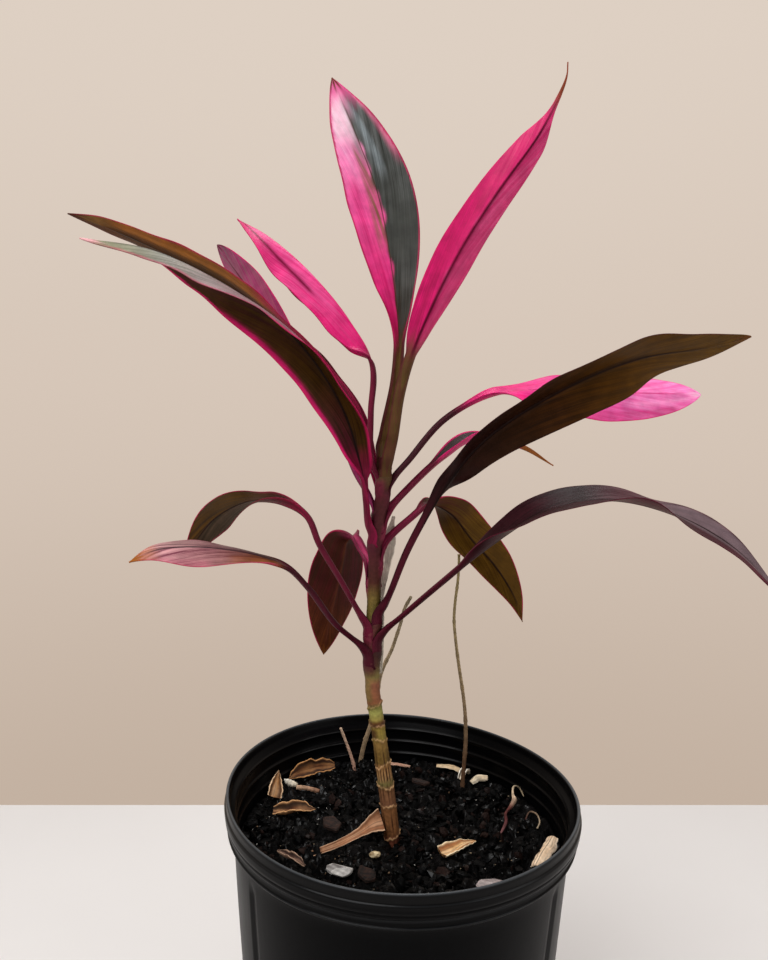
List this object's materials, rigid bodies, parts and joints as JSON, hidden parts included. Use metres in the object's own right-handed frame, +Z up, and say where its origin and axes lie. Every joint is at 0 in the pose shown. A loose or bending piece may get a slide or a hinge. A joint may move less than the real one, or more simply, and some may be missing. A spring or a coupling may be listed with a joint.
{
  "type": "ti plant in nursery pot",
  "caption": "Potted ti plant with one cane, long pink and dark olive leaves on slender petioles, dead twigs and dry litter, in a round black nursery pot.",
  "frame": {"origin": "centre of the pot's underside, on the surface that it stands on", "axes": "+Z up along the plant's height, -Y towards the side that the picture shows, +X to the right there"},
  "size_m": [0.4673, 0.2614, 0.7385],
  "materials": {
    "pot": "satin",
    "soil": "matte",
    "cane": "satin",
    "leaf_hot_pink": "satin",
    "leaf_magenta": "satin",
    "leaf_olive": "satin",
    "leaf_maroon": "satin",
    "dry_tan": "matte",
    "dry_pale": "matte",
    "bark": "matte",
    "stone": "matte"
  },
  "bodies": {
    "root": {"pot": "pot", "soil": "soil", "cane": "cane", "leaf_top_left": "leaf_hot_pink", "leaf_top_right": "leaf_magenta", "leaf_pink_left": "leaf_hot_pink", "leaf_back_left": "leaf_magenta", "leaf_long_left": "leaf_olive", "leaf_near_left": "leaf_olive", "leaf_large_right": "leaf_olive", "leaf_pink_right": "leaf_hot_pink", "leaf_curled_right": "leaf_hot_pink", "leaf_hanging_right": "leaf_olive", "leaf_arching_right": "leaf_maroon", "leaf_arching_left": "leaf_olive", "leaf_lowest_left": "leaf_maroon", "leaf_hanging_left": "leaf_olive", "twig_tall": "dry_tan", "twig_bent": "dry_tan", "twig_broken": "dry_pale", "dry_strip": "dry_pale", "dry_sheath": "dry_tan", "curl_back_left": "dry_tan", "curl_left": "dry_tan", "curl_front_left": "dry_tan", "dry_leaf_right": "dry_tan", "white_curl_near": "dry_pale", "white_curl_far": "dry_pale", "tan_strip": "dry_pale", "thin_strip": "dry_pale", "chip_triangle": "dry_tan", "chip_bark": "bark", "chip_wood": "dry_tan", "chip_back": "bark", "chip_left": "bark", "pebble_quartz": "stone", "pebble_grey": "stone", "pebble_pale": "dry_pale", "stub": "dry_pale", "stalk_left": "dry_tan", "root_long": "dry_pale", "root_short": "dry_pale"}
  },
  "joints": []
}
